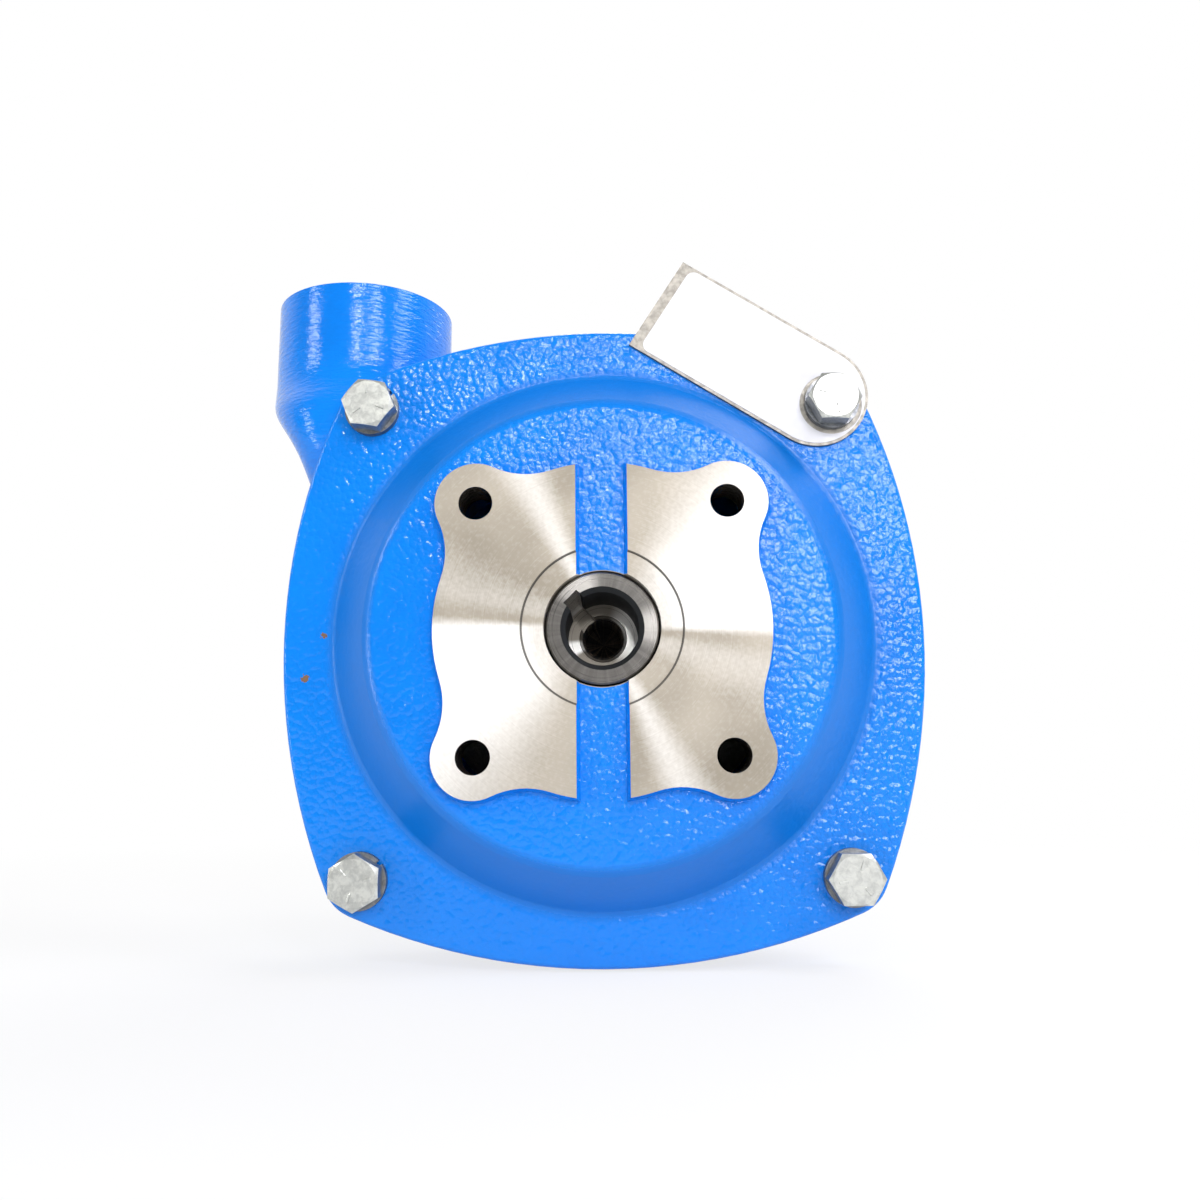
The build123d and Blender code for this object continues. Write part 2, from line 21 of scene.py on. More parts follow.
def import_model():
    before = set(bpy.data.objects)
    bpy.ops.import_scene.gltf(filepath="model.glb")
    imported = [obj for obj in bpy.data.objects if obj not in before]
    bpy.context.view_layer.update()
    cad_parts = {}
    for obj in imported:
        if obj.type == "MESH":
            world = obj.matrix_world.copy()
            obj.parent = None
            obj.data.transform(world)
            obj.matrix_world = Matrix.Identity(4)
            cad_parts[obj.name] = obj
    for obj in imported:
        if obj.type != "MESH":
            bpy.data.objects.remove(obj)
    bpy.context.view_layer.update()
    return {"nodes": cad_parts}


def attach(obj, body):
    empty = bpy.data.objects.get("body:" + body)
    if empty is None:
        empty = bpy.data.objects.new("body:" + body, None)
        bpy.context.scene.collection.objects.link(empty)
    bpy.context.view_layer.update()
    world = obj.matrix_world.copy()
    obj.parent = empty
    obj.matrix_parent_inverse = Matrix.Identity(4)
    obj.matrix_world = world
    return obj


LOG = logging.getLogger("pump")
MM = 0.001
HOUSING = "housing"
ROTOR = "rotor"
Triple = tuple[float, float, float]


class Way(Enum):
    """Direction along which a hole runs, out of its mouth."""

    FRONT = (0.0, -1.0, 0.0)
    BACK = (0.0, 1.0, 0.0)
    UP = (0.0, 0.0, 1.0)


# Shader building
class Signal:
    """A number in a shader: Python's operators on it add Math nodes."""

    def __init__(self, graph: "Graph", socket: bpy.types.NodeSocket) -> None:
        """Keep the graph that the number belongs to and the socket that gives it."""
        self.graph = graph
        self.socket = socket

    def _math(self, operation: str, *values: Any) -> "Signal":
        """Add a Math node.

        Args:
            operation: Blender's name of the operation.
            values: Its inputs in order, as signals or numbers.

        Returns:
            The node's result.
        """
        made = self.graph.node("ShaderNodeMath", {"operation": operation}, dict(enumerate(values)))
        return Signal(self.graph, made.outputs[0])

    def __add__(self, other: Any) -> "Signal":
        """Return the sum."""
        return self._math("ADD", self, other)

    def __radd__(self, other: Any) -> "Signal":
        """Return the sum with the number on the left."""
        return self._math("ADD", other, self)

    def __sub__(self, other: Any) -> "Signal":
        """Return the difference."""
        return self._math("SUBTRACT", self, other)

    def __rsub__(self, other: Any) -> "Signal":
        """Return the difference from the number on the left."""
        return self._math("SUBTRACT", other, self)

    def __mul__(self, other: Any) -> "Signal":
        """Return the product."""
        return self._math("MULTIPLY", self, other)

    def __rmul__(self, other: Any) -> "Signal":
        """Return the product with the number on the left."""
        return self._math("MULTIPLY", other, self)

    def __truediv__(self, other: Any) -> "Signal":
        """Return the quotient."""
        return self._math("DIVIDE", self, other)

    def __rtruediv__(self, other: Any) -> "Signal":
        """Return the quotient with the number on the left."""
        return self._math("DIVIDE", other, self)

    def __lt__(self, other: Any) -> "Signal":
        """Return 1 where the signal is below the other, and 0 elsewhere."""
        return self._math("LESS_THAN", self, other)

    def __gt__(self, other: Any) -> "Signal":
        """Return 1 where the signal is above the other, and 0 elsewhere."""
        return self._math("GREATER_THAN", self, other)

    def __abs__(self) -> "Signal":
        """Return the size without its sign."""
        return self._math("ABSOLUTE", self)

    def fraction(self) -> "Signal":
        """Return what is left past the whole number."""
        return self._math("FRACT", self)

    def root(self) -> "Signal":
        """Return the square root."""
        return self._math("SQRT", self)

    def angle_from(self, across: "Signal") -> "Signal":
        """Return the angle in radians of the point (across, self)."""
        return self._math("ARCTAN2", self, across)

    def least(self, other: Any) -> "Signal":
        """Return the lower of the two."""
        return self._math("MINIMUM", self, other)

    def most(self, other: Any) -> "Signal":
        """Return the higher of the two."""
        return self._math("MAXIMUM", self, other)

    def ramp(self, start: float, end: float, low: float = 0.0, high: float = 1.0) -> "Signal":
        """Blend smoothly from one value to another.

        Args:
            start: Input at which the result is low.
            end: Input at which the result is high. It may be less than start.
            low: Result before start.
            high: Result past end.

        Returns:
            The smooth step.
        """
        made = self.graph.node("ShaderNodeMapRange", {"interpolation_type": "SMOOTHSTEP", "clamp": True},
                               {"Value": self, "From Min": min(start, end), "From Max": max(start, end),
                                "To Min": low if start < end else high,
                                "To Max": high if start < end else low})
        return Signal(self.graph, made.outputs[0])


@dataclass(frozen=True)
class Spot:
    """The point that is shaded, in millimetres."""

    across: Signal
    depth: Signal
    up: Signal

    @cached_property
    def radius(self) -> Signal:
        """Return the distance from the shaft's axis."""
        return distance(self.across, self.up)

    def turn(self, circle: float, start: float = 0.0) -> Signal:
        """Measure how far round the shaft's axis the point is.

        Args:
            circle: Angle in radians after which the measure begins again.
            start: What it says on the +X side.

        Returns:
            The share of that angle, from 0 to 1.
        """
        return (self.up.angle_from(self.across) / circle + (1.0 + start)).fraction()

    def ring(self, middle_x: float, middle_z: float) -> Signal:
        """Return the distance from a line along the shaft's direction."""
        return distance(self.across - middle_x, self.up - middle_z)


def distance(first: Signal, second: Signal) -> Signal:
    """Return the length of a step with two parts at right angles."""
    return (first * first + second * second).root()


@dataclass(frozen=True)
class Sector:
    """A soft-edged sector of a turn, in shares of it. Past 1 it goes on from 0."""

    start: float
    full: float
    fade: float
    end: float

    def mask(self, turn: Signal) -> Signal:
        """Return 1 inside the sector and 0 outside."""
        rise = turn.ramp(self.start, self.full)
        if self.end > 1.0:
            return rise + turn.ramp(self.end - 1.0, self.fade - 1.0)
        return rise * turn.ramp(self.end, self.fade)


class Graph:
    """The node tree of one material or world."""

    def __init__(self, owner: bpy.types.Material | bpy.types.World) -> None:
        """Start an empty tree on its owner."""
        self.owner = owner
        owner.use_nodes = True
        self.tree = owner.node_tree
        self.tree.nodes.clear()
        self._place: bpy.types.NodeSocket | None = None

    @classmethod
    def named(cls, name: str) -> "Graph":
        """Return the tree of a new material of that name."""
        return cls(bpy.data.materials.new(name))

    def node(self, kind: str, settings: dict[str, Any] | None = None,
             inputs: dict[Any, Any] | None = None) -> bpy.types.Node:
        """Add a node.

        Args:
            kind: The node's type.
            settings: Its own properties, set first.
            inputs: Values, signals or sockets for its inputs, by name or number.

        Returns:
            The node.
        """
        made = self.tree.nodes.new(kind)
        for key, value in (settings or {}).items():
            setattr(made, key, value)
        for key, value in (inputs or {}).items():
            if isinstance(value, Signal):
                self.tree.links.new(value.socket, made.inputs[key])
            elif isinstance(value, bpy.types.NodeSocket):
                self.tree.links.new(value, made.inputs[key])
            else:
                made.inputs[key].default_value = value
        return made

    def place(self) -> bpy.types.NodeSocket:
        """Return the point on the object as a vector, in millimetres."""
        if self._place is None:
            coords = self.node("ShaderNodeTexCoord")
            scaled = self.node("ShaderNodeVectorMath", {"operation": "SCALE"},
                               {0: coords.outputs["Object"], "Scale": 1.0 / MM})
            self._place = scaled.outputs[0]
        return self._place

    def spot(self) -> Spot:
        """Return the point on the object as separate numbers, in millimetres."""
        parts = self.node("ShaderNodeSeparateXYZ", None, {0: self.place()})
        return Spot(*(Signal(self, out) for out in parts.outputs))

    def facing_depth(self) -> Signal:
        """Return how squarely the surface faces along the shaft: 1 on end faces, 0 on walls."""
        geometry = self.node("ShaderNodeNewGeometry")
        parts = self.node("ShaderNodeSeparateXYZ", None, {0: geometry.outputs["True Normal"]})
        return abs(Signal(self, parts.outputs[1]))

    def noise(self, per_mm: float, detail: float = 2.0, rough: float = 0.5, warp: float = 0.0,
              stretch: Triple = (1.0, 1.0, 1.0)) -> Signal:
        """Add smooth noise over the object.

        Args:
            per_mm: Lumps in a millimetre.
            detail: Levels of finer noise.
            rough: Weight of the finer levels.
            warp: How far the noise bends itself.
            stretch: Factors on its three coordinates.

        Returns:
            The noise, about 0 to 1.
        """
        place = self.place()
        if stretch != (1.0, 1.0, 1.0):
            scaled = self.node("ShaderNodeVectorMath", {"operation": "MULTIPLY"}, {0: place, 1: stretch})
            place = scaled.outputs[0]
        made = self.node("ShaderNodeTexNoise", None, {"Vector": place, "Scale": per_mm, "Detail": detail,
                                                      "Roughness": rough, "Distortion": warp})
        return Signal(self, made.outputs[0])

    def domes(self, per_mm: float, soft: float = 0.35) -> Signal:
        """Add low round bumps set close together.

        Args:
            per_mm: Bumps in a millimetre.
            soft: How far neighbours melt into each other.

        Returns:
            The height, highest on each bump, about 0 to 1.
        """
        made = self.node("ShaderNodeTexVoronoi", {"feature": "SMOOTH_F1"},
                         {"Vector": self.place(), "Scale": per_mm, "Smoothness": soft, "Randomness": 1.0})
        reach = Signal(self, made.outputs["Distance"])
        return 1.0 - reach * reach

    def rings(self, along: Signal, per_mm: float) -> Signal:
        """Add fine grooves that change only along one distance.

        Args:
            along: The distance in millimetres.
            per_mm: Grooves in a millimetre.

        Returns:
            The grooves' height, about 0 to 1.
        """
        made = self.node("ShaderNodeTexNoise", {"noise_dimensions": "1D"},
                         {"W": along, "Scale": per_mm, "Detail": 3.0, "Roughness": 0.7})
        return Signal(self, made.outputs[0])

    def mix(self, factor: Any, first: Any, second: Any) -> bpy.types.NodeSocket:
        """Mix two colours.

        Args:
            factor: Share of the second.
            first: A colour or a colour's socket.
            second: A colour or a colour's socket.

        Returns:
            The mixed colour.
        """
        made = self.node("ShaderNodeMix", {"data_type": "RGBA"},
                         {0: factor, 6: self._rgba(first), 7: self._rgba(second)})
        return made.outputs[2]

    @staticmethod
    def _rgba(colour: Any) -> Any:
        """Return a colour with its alpha, or a socket as it is."""
        return (*colour, 1.0) if isinstance(colour, tuple) and len(colour) == 3 else colour

    def bump(self, height: Signal, depth_mm: float) -> bpy.types.NodeSocket:
        """Turn a height into a normal.

        Args:
            height: The height.
            depth_mm: What a height of 1 stands for, in millimetres.

        Returns:
            The normal.
        """
        return self.node("ShaderNodeBump", None,
                         {"Strength": 1.0, "Distance": depth_mm * MM, "Height": height}).outputs[0]

    def surface(self, settings: dict[str, Any]) -> bpy.types.Material:
        """Close the material with its surface shader.

        Args:
            settings: Values, signals or sockets of the shader, by input name.

        Returns:
            The finished material.
        """
        filled = {key: self._rgba(value) for key, value in settings.items()}
        shader = self.node("ShaderNodeBsdfPrincipled", None, filled)
        self.node("ShaderNodeOutputMaterial", None, {"Surface": shader.outputs[0]})
        return self.owner


# Finishes
@dataclass(frozen=True)
class Skin:
    """What the enamel of one casting makes of the shared blue."""

    colour: bpy.types.NodeSocket
    metal: bpy.types.NodeSocket
    lumps: Signal
    calm: Signal
    rough: Any


@dataclass(frozen=True)
class Enamel:
    """Glossy blue enamel sprayed over rough cast iron, with bare machined places."""

    name: str
    blue: Triple = (0.0010, 0.205, 0.74)
    deep_blue: Triple = (0.0008, 0.175, 0.67)
    bare_mid: Triple = (0.45, 0.405, 0.33)
    bare_dark: Triple = (0.31, 0.275, 0.215)
    lump_per_mm: float = 0.60
    fine_per_mm: float = 1.6
    patch_per_mm: float = 0.03
    lump_depth: float = 0.47
    fine_share: float = 0.15
    tool_marks_per_mm: float = 2.4
    tool_depth: float = 0.012
    roughness: float = 0.12
    bare_roughness: float = 0.52
    bare_metallic: float = 0.45
    shine: float = 0.45

    def _bare(self, spot: Spot) -> Signal:
        """Return where the metal is bare: 1 on machined places, and 0 under the enamel."""
        raise NotImplementedError

    def _skin(self, graph: Graph, spot: Spot, blue: bpy.types.NodeSocket, fine: Signal,
              patch: Signal) -> Skin:
        """Return what differs from one casting to another."""
        raise NotImplementedError

    def build(self) -> bpy.types.Material:
        """Return the enamel's material."""
        graph = Graph.named(self.name)
        spot = graph.spot()
        bare = self._bare(spot)
        fine = graph.noise(self.fine_per_mm)
        patch = graph.noise(self.patch_per_mm)
        blue = graph.mix(patch.ramp(0.25, 0.6), self.deep_blue, self.blue)
        skin = self._skin(graph, spot, blue, fine, patch)
        share = self.fine_share
        painted = (skin.lumps * (1.0 - share) + fine * share) * skin.calm * self.lump_depth
        marks = graph.rings(spot.radius, self.tool_marks_per_mm) * bare * self.tool_depth
        rough = fine * 0.05 + bare * (self.bare_roughness - self.roughness) + skin.rough
        return graph.surface({"Base Color": graph.mix(bare, skin.colour, skin.metal),
                              "Metallic": bare * self.bare_metallic, "Roughness": rough,
                              "Normal": graph.bump(painted * (1.0 - bare) + marks, 1.0),
                              "Specular IOR Level": self.shine})


@dataclass(frozen=True)
class Chip:
    """A spot where the enamel is chipped down to the rust."""

    place_x: float
    place_z: float
    radius: float


@dataclass(frozen=True)
class BracketEnamel(Enamel):
    """Enamel of the engine bracket, with its machined pads and a smoother band around its hub, under painted
    highlights and shade.
    """

    # Painted shade on the sloped band.
    band_painted_shade: Triple = (0.0012, 0.150, 0.54)
    # Colour of the painted highlight on the faced pads.
    bright: Triple = (0.90, 0.88, 0.83)
    # Painted shade in the holes and along the pilot's edge.
    dark_painted_shade: Triple = (0.045, 0.040, 0.034)
    rust: Triple = (0.20, 0.12, 0.07)
    band_rougher: float = 0.18
    band_in_r: float = 59.5
    band_out_r: float = 73.6
    pad_depth: float = 0.03
    pilot_r: float = 20.7
    pilot_depth: float = 0.4
    line_half: float = 0.27
    bore_r: float = 15.2
    bore_depth: float = 14.0
    hole_half: float = 32.56
    hole_r: float = 4.45
    slack: float = 0.05
    # Sectors of painted highlight on the faced pads.
    painted_fan: Sector = Sector(0.0, 0.035, 0.19, 0.43)
    painted_ray: Sector = Sector(0.615, 0.675, 0.675, 0.74)
    painted_haze: Sector = Sector(0.83, 0.95, 0.95, 1.0)
    painted_fan_start: float = 0.03
    painted_ray_strength: float = 0.55
    painted_haze_strength: float = 0.25
    chips: tuple[Chip, ...] = (Chip(-79.5, -11.0, 1.0), Chip(-75.0, 0.5, 0.8))

    def _bare(self, spot: Spot) -> Signal:
        """Return where the metal is bare: on the pads, in the pilot recess and in the bore."""
        pads = spot.depth < self.pad_depth
        pilot = (spot.radius < self.pilot_r + self.slack) * (spot.depth < self.pilot_depth + self.slack)
        bore = (spot.radius < self.bore_r) * (spot.depth < self.bore_depth)
        return (pads + pilot + bore).least(1.0)

    def _faced_metal_painted_sheen(self, graph: Graph, spot: Spot) -> bpy.types.NodeSocket:
        """Colour the faced metal: its tan tone under painted highlights, two bright fans and two thin rays
        about the axis.

        Args:
            graph: The enamel's tree.
            spot: The point.

        Returns:
            The colour.
        """
        turn = spot.turn(math.pi, self.painted_fan_start)
        # Painted highlight: the fans, rays and haze, broken up by groove and grain noise.
        fans = self.painted_fan.mask(turn) * spot.radius.ramp(23.0, 16.0, 1.0, 0.55)
        rays = self.painted_ray.mask(turn) * self.painted_ray_strength + self.painted_haze.mask(turn) * self.painted_haze_strength
        rings = graph.rings(spot.radius, 3.0).ramp(0.2, 0.8, -0.06, 0.06)
        grain = graph.noise(0.9).ramp(0.2, 0.8, -0.08, 0.08)
        painted_sheen = (fans + rays + rings + grain).least(1.0).most(0.0)
        tan = graph.mix(graph.noise(0.035).ramp(0.3, 0.7), self.bare_dark, self.bare_mid)
        return graph.mix(painted_sheen, tan, self.bright)

    def _skin(self, graph: Graph, spot: Spot, blue: bpy.types.NodeSocket, fine: Signal,
              patch: Signal) -> Skin:
        """Make the bracket's skin: painted shade on the band, in the holes and along the pilot's edge, rust
        chips and close lumps.

        Args:
            graph: The enamel's tree.
            spot: The point.
            blue: The shared blue.
            fine: Fine noise.
            patch: Noise in wide patches; not used here.

        Returns:
            The skin.
        """
        band = spot.radius.ramp(self.band_in_r - 1.0, self.band_in_r + 2.0) * spot.radius.ramp(
            self.band_out_r + 1.5, self.band_out_r - 1.5)
        # Painted shade on the sloped band, as a darker blue.
        colour = graph.mix(band * 0.85, blue, self.band_painted_shade)
        # Painted shade inside the four holes.
        from_hole = distance(abs(spot.across) - self.hole_half, abs(spot.up) - self.hole_half)
        holes = (from_hole < self.hole_r) * (spot.depth > 0.1)
        colour = graph.mix(holes, colour, self.dark_painted_shade)
        for chip in self.chips:
            ragged = spot.ring(chip.place_x, chip.place_z) + (fine - 0.5) * 2.2
            colour = graph.mix(ragged < chip.radius, colour, self.rust)
        # Painted shade along the edge of the pilot recess.
        line = (abs(spot.radius - self.pilot_r) < self.line_half) * (
            spot.depth < self.pilot_depth + self.slack)
        metal = graph.mix(line * 0.85, self._faced_metal_painted_sheen(graph, spot), self.dark_painted_shade)
        lumps = graph.domes(self.lump_per_mm) * 0.7 + graph.noise(self.lump_per_mm, 1.0, warp=0.2) * 0.6
        calm = (1.0 - band * 0.78) * (spot.across + spot.up * 0.5).ramp(-55.0, 35.0, 0.5, 1.0)
        return Skin(colour, metal, lumps, calm, self.roughness + band * self.band_rougher)


@dataclass(frozen=True)
class ScrollEnamel(Enamel):
    """Enamel of the scroll casing, with its two machined ports."""

    suction_r: float = 22.1
    suction_depth: float = 60.0
    discharge_x: float = -74.2
    discharge_depth: float = 50.0
    discharge_r: float = 19.3
    discharge_foot: float = 80.0
    brush: Triple = (0.4, 0.4, 1.5)

    def _bare(self, spot: Spot) -> Signal:
        """Return where the metal is bare: inside the two ports."""
        suction = (spot.radius < self.suction_r) * (spot.depth > self.suction_depth)
        from_port = distance(spot.across - self.discharge_x, spot.depth - self.discharge_depth)
        discharge = (from_port < self.discharge_r) * (spot.up > self.discharge_foot)
        return (suction + discharge).least(1.0)

    def _skin(self, graph: Graph, spot: Spot, blue: bpy.types.NodeSocket, fine: Signal,
              patch: Signal) -> Skin:
        """Make the scroll's skin: plain blue over faint level waves.

        Args:
            graph: The enamel's tree.
            spot: The point; not used here.
            blue: The shared blue.
            fine: Fine noise.
            patch: Noise in wide patches.

        Returns:
            The skin.
        """
        lumps = graph.noise(self.lump_per_mm, warp=0.3, stretch=self.brush)
        metal = graph.mix(fine, self.bare_dark, self.bare_mid)
        return Skin(blue, metal, lumps, patch.ramp(0.2, 0.8, 0.55, 0.95), self.roughness)


@dataclass(frozen=True)
class Turned:
    """Bare metal with lathe grooves about the shaft's axis."""

    name: str
    light: Triple
    dark: Triple
    roughness: float = 0.28
    grooves_per_mm: float = 2.6
    groove_depth: float = 0.010
    stain: float = 0.25
    metallic: float = 1.0

    def _tone(self, graph: Graph, spot: Spot) -> bpy.types.NodeSocket:
        """Return the metal's colour, slightly clouded."""
        cloud = graph.noise(0.12, 3.0, 0.6)
        return graph.mix(cloud.ramp(0.25, 0.75, 1.0 - self.stain, 1.0), self.dark, self.light)

    def _matt(self, spot: Spot, grooves: Signal) -> Signal:
        """Return the roughness, which follows the grooves."""
        return grooves.ramp(0.2, 0.8, self.roughness - 0.06, self.roughness + 0.08)

    def build(self) -> bpy.types.Material:
        """Return the turned metal's material."""
        graph = Graph.named(self.name)
        spot = graph.spot()
        face = graph.facing_depth() > 0.7
        grooves = graph.rings(spot.radius * face + spot.depth * (1.0 - face), self.grooves_per_mm)
        return graph.surface({"Base Color": self._tone(graph, spot), "Metallic": self.metallic,
                              "Roughness": self._matt(spot, grooves),
                              "Normal": graph.bump(grooves, self.groove_depth)})


@dataclass(frozen=True)
class ShaftSteel(Turned):
    """Turned steel of the hollow shaft, with painted shade inside its bore."""

    face_depth: float = 2.42
    mouth_r: float = 10.75
    floor_depth: float = 24.2
    stud_r: float = 5.75
    wall_rougher: float = 0.35
    # Painted shade inside the bore.
    bore_shade: Triple = (0.020, 0.022, 0.024)
    # Painted highlight on the step at the bore's bottom, then its painted shade.
    step: Triple = (0.95, 0.94, 0.90)
    step_painted_shade: Triple = (0.20, 0.18, 0.15)
    brown: Triple = (0.16, 0.125, 0.095)
    # Sectors of painted highlight on the end face.
    upper_painted_ray: Sector = Sector(0.24, 0.31, 0.34, 0.43)
    right_painted_ray: Sector = Sector(0.92, 0.99, 1.02, 1.09)
    # Sectors of the step's painted highlight.
    step_highlight_right: Sector = Sector(0.80, 0.97, 1.10, 1.22)
    step_highlight_left: Sector = Sector(0.50, 0.53, 0.57, 0.60)

    def _inside(self, spot: Spot) -> Signal:
        """Return 1 inside the bore, and 0 elsewhere."""
        return (spot.radius < self.mouth_r) * (spot.depth > self.face_depth)

    def _tone(self, graph: Graph, spot: Spot) -> bpy.types.NodeSocket:
        """Colour the shaft: painted highlight rays on the end face, painted shade in the bore, a painted
        highlight on the step at its bottom and brown stains in the stud hole.

        Args:
            graph: The steel's tree.
            spot: The point.

        Returns:
            The colour.
        """
        # Painted highlight on the end face: two rays and fine streaks.
        turn = spot.turn(2 * math.pi)
        streaks = graph.rings(turn * 40.0, 1.0).ramp(0.3, 0.8, 0.0, 0.18)
        rays = (self.upper_painted_ray.mask(turn) + self.right_painted_ray.mask(turn) * 0.8 + streaks).least(1.0)
        tone = graph.mix(rays, self.dark, self.light)
        # Painted shade inside the bore.
        inside = self._inside(spot)
        tone = graph.mix(inside, tone, self.bore_shade)
        # Painted highlight on the step at the bore's bottom, with painted shade between its sectors.
        bottom = (spot.depth > self.floor_depth) * inside
        shine = (self.step_highlight_right.mask(turn) + self.step_highlight_left.mask(turn)).least(1.0)
        tone = graph.mix(bottom, tone, graph.mix(shine, self.step_painted_shade, self.step))
        # Brown stains in the stud hole, over the painted shade.
        stains = graph.rings(turn * 12.0, 1.0).ramp(0.4, 0.75)
        stud = (spot.radius < self.stud_r) * bottom
        return graph.mix(stud, tone, graph.mix(stains, self.bore_shade, self.brown))

    def _matt(self, spot: Spot, grooves: Signal) -> Signal:
        """Return the roughness, higher on the wall of the bore."""
        wall = self._inside(spot) * (spot.depth < self.floor_depth)
        return super()._matt(spot, grooves) + wall * self.wall_rougher


@dataclass(frozen=True)
class Plated:
    """Plated steel, dull and slightly mottled, darker on its flanks than on its ends."""

    name: str
    light: Triple
    dark: Triple
    roughness: float = 0.36
    metallic: float = 0.75
    flank_shade: float = 0.7
    shade: Triple = (0.10, 0.11, 0.12)

    def build(self) -> bpy.types.Material:
        """Return the plating's material."""
        graph = Graph.named(self.name)
        mottle = graph.noise(0.55, 3.0, 0.6, 0.4)
        grain = graph.noise(4.0)
        tone = graph.mix(mottle.ramp(0.3, 0.7), self.dark, self.light)
        flank = graph.facing_depth().ramp(0.45, 0.20)
        return graph.surface({"Base Color": graph.mix(flank * self.flank_shade, tone, self.shade),
                              "Metallic": self.metallic,
                              "Roughness": mottle.ramp(0.3, 0.7, self.roughness + 0.1, self.roughness - 0.05),
                              "Normal": graph.bump(mottle * 0.7 + grain * 0.3, 0.05)})


@dataclass(frozen=True)
class CastMetal:
    """Unpainted metal as it leaves the mould, with a grainy skin."""

    name: str
    light: Triple
    dark: Triple
    metallic: float = 0.7
    roughness: float = 0.6
    grain_mm: float = 0.22

    def build(self) -> bpy.types.Material:
        """Return the cast metal's material."""
        graph = Graph.named(self.name)
        grain = graph.noise(1.1, 4.0, 0.6)
        stain = graph.noise(0.12, 3.0)
        tone = graph.mix((grain * 0.5 + stain * 0.5).ramp(0.35, 0.65), self.dark, self.light)
        return graph.surface({"Base Color": tone, "Metallic": self.metallic,
                              "Roughness": grain.ramp(0.3, 0.7, self.roughness, self.roughness + 0.15),
                              "Normal": graph.bump(grain, self.grain_mm)})


@dataclass(frozen=True)
class Moulded:
    """Rubber, ceramic or carbon: a plain solid with a fine skin."""

    name: str
    light: Triple
    dark: Triple
    roughness: float = 0.6
    grain_mm: float = 0.03

    def build(self) -> bpy.types.Material:
        """Return the moulded material."""
        graph = Graph.named(self.name)
        cloud = graph.noise(0.3, 3.0)
        grain = graph.noise(3.0)
        return graph.surface({"Base Color": graph.mix(cloud.ramp(0.3, 0.7), self.dark, self.light),
                              "Roughness": grain.ramp(0.3, 0.7, self.roughness - 0.05, self.roughness + 0.08),
                              "Normal": graph.bump(grain, self.grain_mm)})


@dataclass(frozen=True)
class LabelFilm:
    """Glossy white film stuck on the metal tag, with a little dirt and slight waves."""

    white: Triple = (0.76, 0.76, 0.78)
    grey: Triple = (0.64, 0.64, 0.66)
    dirt: Triple = (0.35, 0.35, 0.36)
    wave_mm: float = 0.5
    shine: float = 0.25

    def build(self) -> bpy.types.Material:
        """Return the film's material."""
        graph = Graph.named("label_film")
        cloud = graph.noise(0.06, 3.0, 0.6)
        specks = graph.noise(1.4).ramp(0.74, 0.80)
        tone = graph.mix(cloud.ramp(0.35, 0.75), self.white, self.grey)
        return graph.surface({"Base Color": graph.mix(specks * 0.35, tone, self.dirt),
                              "Roughness": cloud.ramp(0.3, 0.7, 0.22, 0.34),
                              "Normal": graph.bump(graph.noise(0.09), self.wave_mm),
                              "Specular IOR Level": self.shine})


# Mesh helpers
def clear_selection() -> None:
    """Deselect every object, and leave edit mode if it is on."""
    if bpy.context.object and bpy.context.object.mode != "OBJECT":
        bpy.ops.object.mode_set(mode="OBJECT")
    bpy.ops.object.select_all(action="DESELECT")


def dress(node: bpy.types.Object, material: bpy.types.Material) -> None:
    """Give a CAD node its finish.

    Args:
        node: The CAD node.
        material: Its finish.
    """
    node.data.materials.clear()
    node.data.materials.append(material)
    LOG.info("dressed %s with %s", node.name, material.name)


def settle(piece: bpy.types.Object, name: str, body: str, material: bpy.types.Material) -> None:
    """Finish a new piece: put its place in its mesh, name it, dress it and let it ride.

    Args:
        piece: The new mesh object, at its place.
        name: The piece's name.
        body: The CAD body that it moves with.
        material: Its finish.
    """
    clear_selection()
    piece.select_set(True)
    bpy.context.view_layer.objects.active = piece
    bpy.ops.object.transform_apply(location=True, rotation=True, scale=True)
    piece.name = name
    piece.data.name = name
    piece.data.materials.clear()
    piece.data.materials.append(material)
    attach(piece, body)
    LOG.info("made %s: %d faces", name, len(piece.data.polygons))


